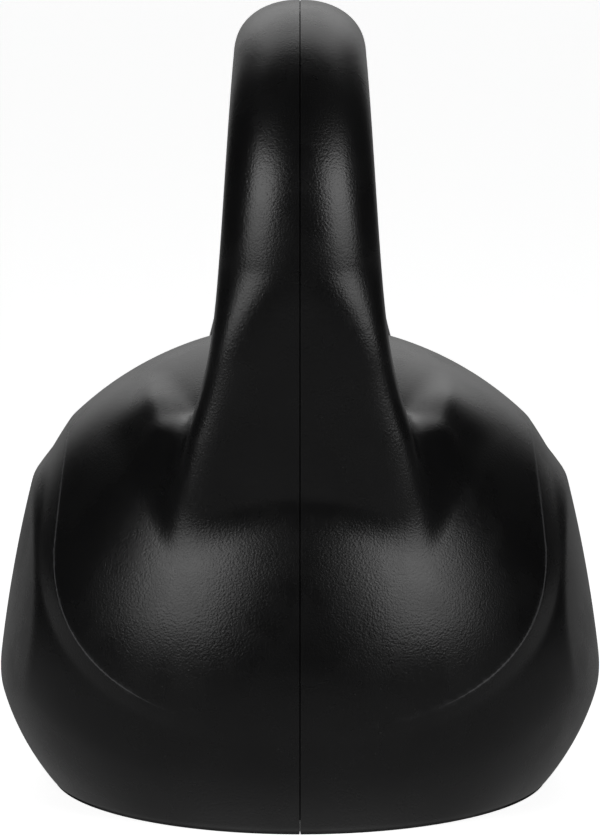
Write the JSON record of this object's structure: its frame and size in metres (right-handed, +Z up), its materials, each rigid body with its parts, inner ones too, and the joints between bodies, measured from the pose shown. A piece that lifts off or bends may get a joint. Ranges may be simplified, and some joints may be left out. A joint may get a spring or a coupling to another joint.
{
  "type": "kettlebell",
  "caption": "Moulded kettlebell: a round weight with flattened front and rear, a raised panel over the top and ends, a flat base and a thick arched handle.",
  "frame": {"origin": "middle of the flat base, on the surface that the kettlebell stands on", "axes": "+Z up; X along the grip; Y across the seam, with the front face towards -Y"},
  "size_m": [0.1866, 0.1714, 0.222],
  "materials": {
    "casing": "black satin moulded polyethylene with a fine leathery grain",
    "concrete": "raw cast concrete",
    "steel_bar": "plain rolled steel bar",
    "plug": "matt black moulded plug"
  },
  "bodies": {
    "root": {"front_shell": "casing", "rear_shell": "casing", "concrete_fill": "concrete", "handle_bar": "steel_bar", "filler_plug": "plug"}
  },
  "joints": []
}
